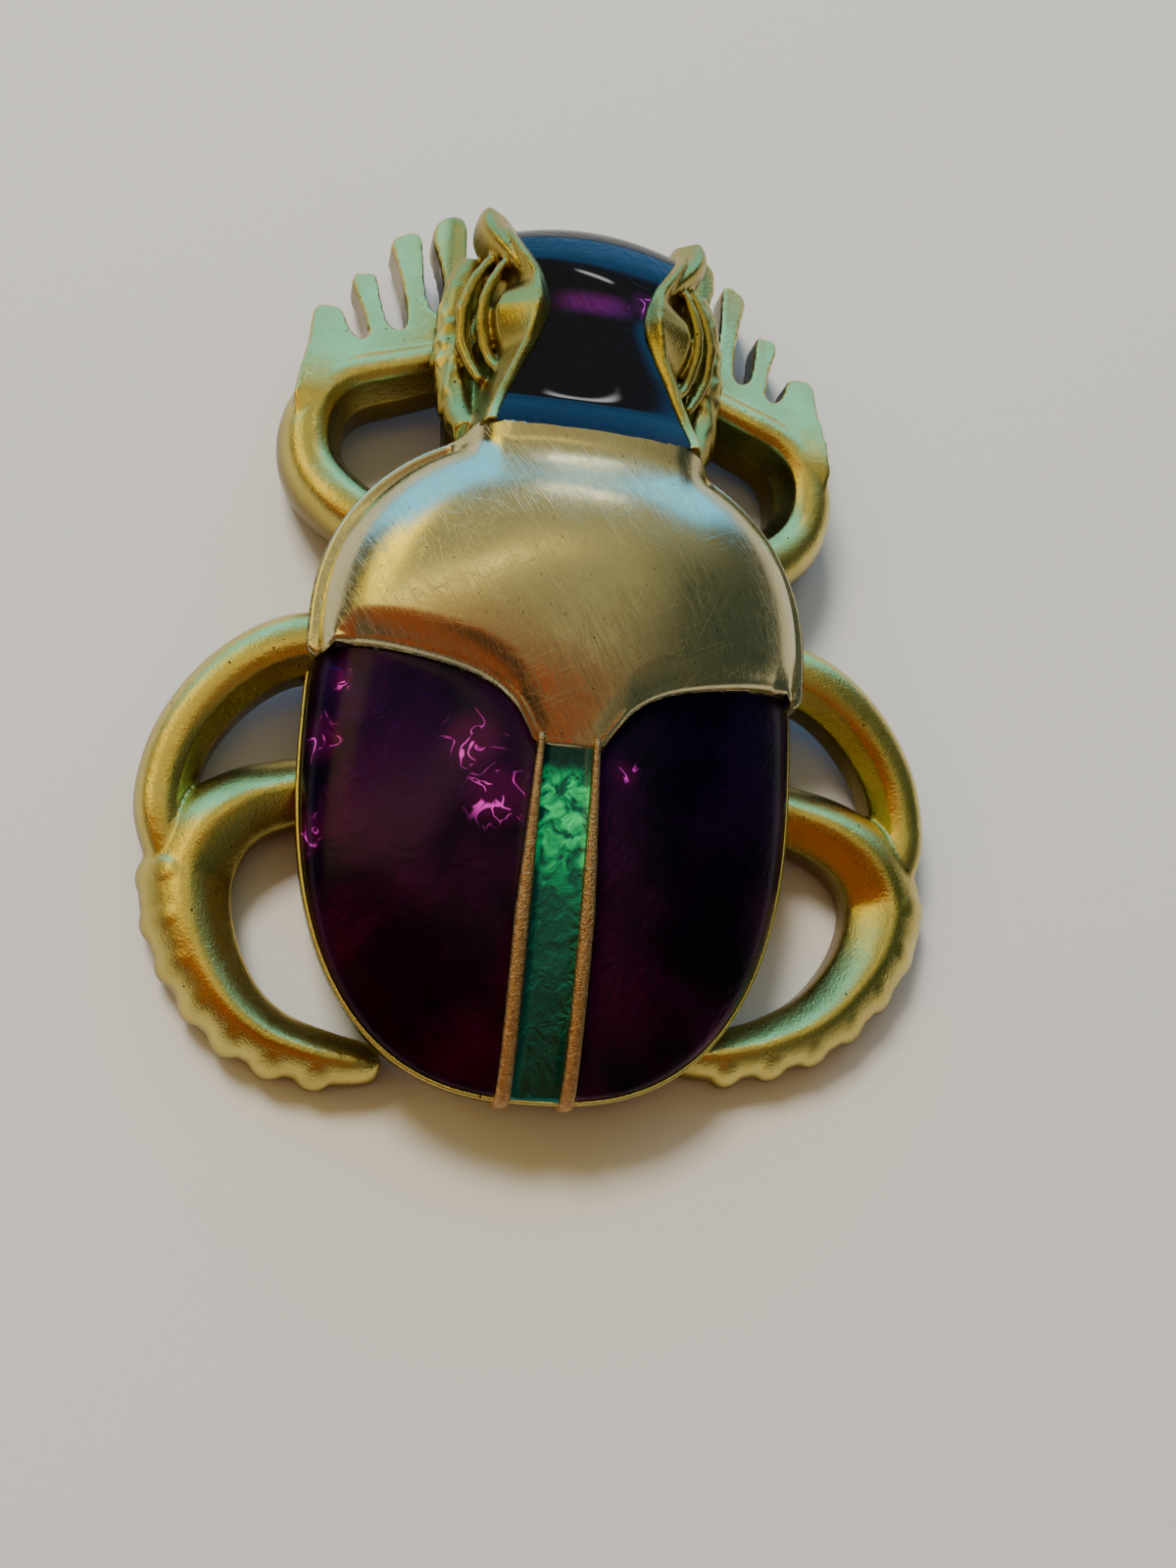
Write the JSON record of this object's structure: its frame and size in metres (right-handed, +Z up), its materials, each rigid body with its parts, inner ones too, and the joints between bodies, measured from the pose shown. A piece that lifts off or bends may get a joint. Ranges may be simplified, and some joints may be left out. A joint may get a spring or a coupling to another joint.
{
  "type": "scarab brooch",
  "caption": "Scarab beetle brooch with enamelled wing cases and head, a smooth domed shield, looped legs and toothed fore claws, worn by a bar pin behind.",
  "frame": {"origin": "on the surface that the brooch lies on, under the middle of its overall length and width", "axes": "+Y towards the head, +X to the beetle's right as it is seen from above with the head up, +Z up and away from the wearer"},
  "size_m": [0.0408, 0.0471, 0.0114],
  "materials": {
    "gold": "satin to polished",
    "amethyst_enamel": "gloss",
    "emerald_enamel": "gloss",
    "pin_metal": "satin"
  },
  "bodies": {
    "root": {"casting": "gold", "left_wing_enamel": "amethyst_enamel", "right_wing_enamel": "amethyst_enamel", "stripe_enamel": "emerald_enamel", "head_enamel": "amethyst_enamel", "pin_finding": "pin_metal"}
  },
  "joints": []
}
